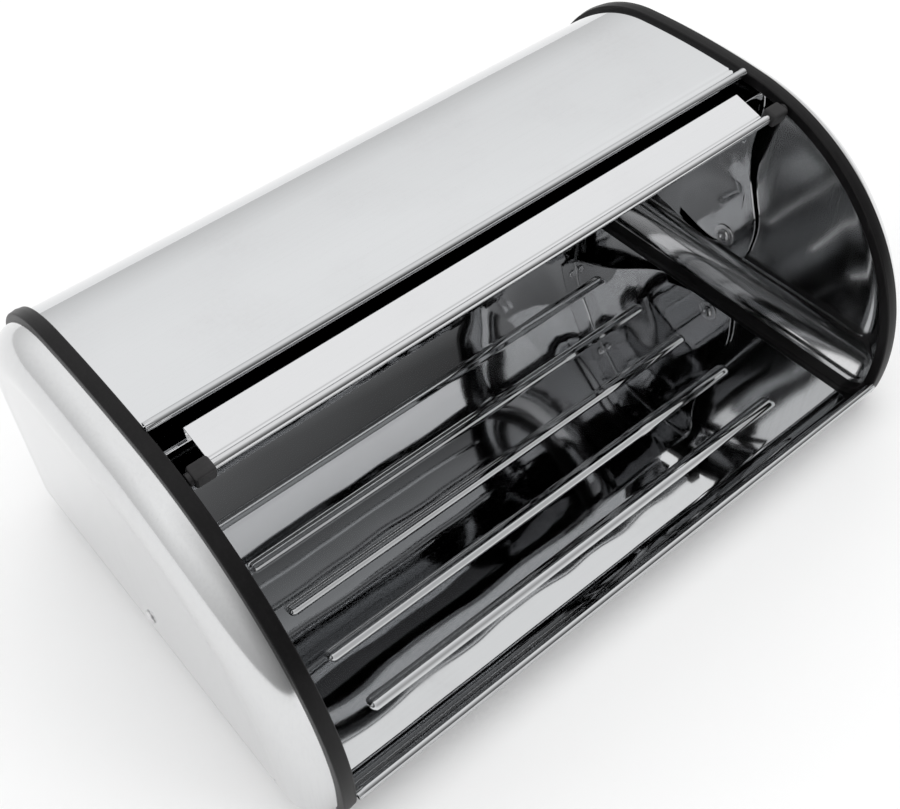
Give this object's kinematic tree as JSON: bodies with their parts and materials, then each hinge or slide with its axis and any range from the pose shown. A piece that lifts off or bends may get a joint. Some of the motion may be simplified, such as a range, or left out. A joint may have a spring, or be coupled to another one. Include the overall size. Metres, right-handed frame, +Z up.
{
  "type": "roll-top bread box",
  "caption": "Sheet-steel bread box with round front, dished ends and a curved lid that rolls back under the top on side pivots.",
  "frame": {"origin": "on the surface that the feet stand on, midway between the ends and midway between the front and the back", "axes": "+X along the box to the right end, +Y to the back wall, +Z up; the opening faces -Y"},
  "size_m": [0.4388, 0.2787, 0.1757],
  "materials": {
    "polished_steel": "mirror-polished stainless steel",
    "satin_steel": "fine satin stainless steel, polished outside edge",
    "trim_plastic": "satin black moulded plastic",
    "bumper_plastic": "soft black moulded plastic",
    "rivet_steel": "bright plated steel",
    "nylon": "natural nylon",
    "foot_rubber": "matt black rubber"
  },
  "bodies": {
    "root": {"body_shell": "polished_steel", "end_cap_left": "satin_steel", "end_cap_right": "satin_steel", "edge_trim_left": "trim_plastic", "edge_trim_right": "trim_plastic", "pivot_rivet_left": "rivet_steel", "pivot_rivet_right": "rivet_steel", "pivot_spacer_left": "nylon", "pivot_spacer_right": "nylon", "pivot_washer_left": "rivet_steel", "pivot_washer_right": "rivet_steel", "foot_front_left": "foot_rubber", "foot_front_right": "foot_rubber", "foot_rear_left": "foot_rubber", "foot_rear_right": "foot_rubber"},
    "lid": {"lid_panel": "polished_steel", "lid_side_left": "polished_steel", "lid_side_right": "polished_steel", "lid_bumper_left": "bumper_plastic", "lid_bumper_right": "bumper_plastic", "lid_rivet_1_left": "rivet_steel", "lid_rivet_1_right": "rivet_steel", "lid_rivet_2_left": "rivet_steel", "lid_rivet_2_right": "rivet_steel", "lid_rivet_3_left": "rivet_steel", "lid_rivet_3_right": "rivet_steel"}
  },
  "joints": [
    {"name": "lid_roll", "type": "hinge", "parent": "root", "child": "lid", "pos_m": [0, -0.00253, 0.0393], "axis": [1, 0, 0], "range_deg": [0, 78.2]}
  ]
}
